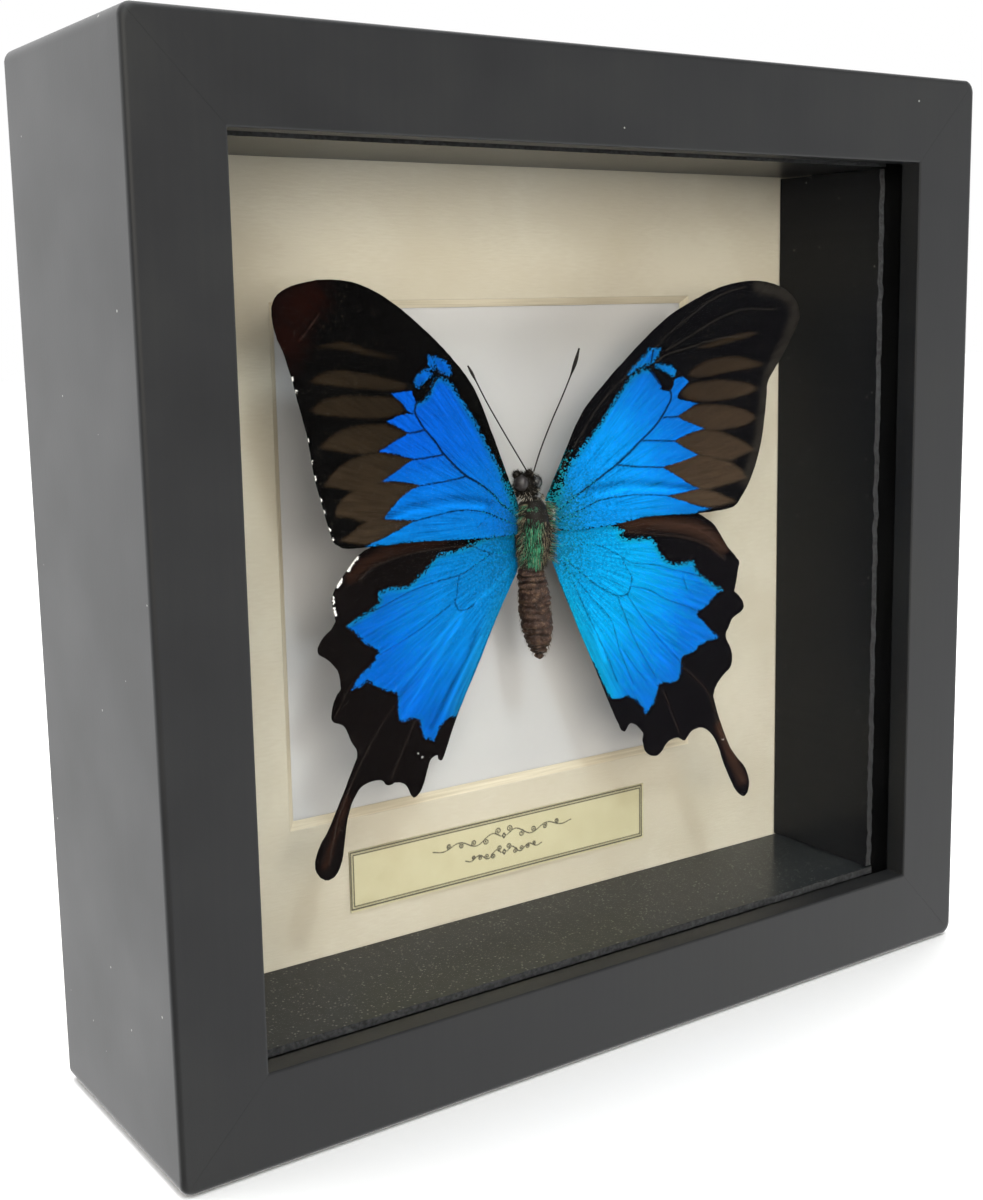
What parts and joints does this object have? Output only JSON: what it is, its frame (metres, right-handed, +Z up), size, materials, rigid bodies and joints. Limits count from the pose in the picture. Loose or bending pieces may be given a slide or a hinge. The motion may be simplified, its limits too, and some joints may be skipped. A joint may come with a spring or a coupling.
{
  "type": "framed butterfly specimen",
  "caption": "Deep black box frame with a glazed front that shows a blue and black swallowtail butterfly held before a bevelled cream mat with a small bordered label.",
  "frame": {"origin": "middle of the underside, halfway through the depth of the frame", "axes": "+Z up; the glazed front faces -Y and the back board +Y; +X to the right seen from the front"},
  "size_m": [0.18, 0.051, 0.18],
  "materials": {
    "frame_black": "matte black paint on moulded wood",
    "glass": "clear float glass",
    "card_black": "black-faced card with raw pale edges",
    "mat_cream": "cream laid mat board with a bevelled window",
    "card_white": "smooth white card",
    "label_paper": "cream paper with a printed rope border",
    "hardboard": "pressed hardboard",
    "steel": "zinc-plated sheet",
    "cork": "raw cork",
    "wing_scales": "satin blue scales in a velvet black border",
    "body_fur": "black and green metallic hairs",
    "body_skin": "dry brown ringed skin",
    "antenna_black": "matte black"
  },
  "bodies": {
    "root": {"rail_top": "frame_black", "rail_bottom": "frame_black", "rail_left": "frame_black", "rail_right": "frame_black", "glass_pane": "glass", "strip_top": "card_black", "strip_bottom": "card_black", "strip_left": "card_black", "strip_right": "card_black", "mat_board": "mat_cream", "backing_card": "card_white", "back_board": "hardboard", "label_card": "label_paper", "point_top": "steel", "point_bottom": "steel", "point_left": "steel", "point_right": "steel", "hanger_plate": "steel", "hanger_nail_left": "steel", "hanger_nail_right": "steel", "mounting_block": "cork", "forewing_left": "wing_scales", "forewing_right": "wing_scales", "hindwing_left": "wing_scales", "hindwing_right": "wing_scales", "thorax": "body_fur", "head": "body_fur", "abdomen": "body_skin", "antenna_left": "antenna_black", "antenna_right": "antenna_black"}
  },
  "joints": []
}
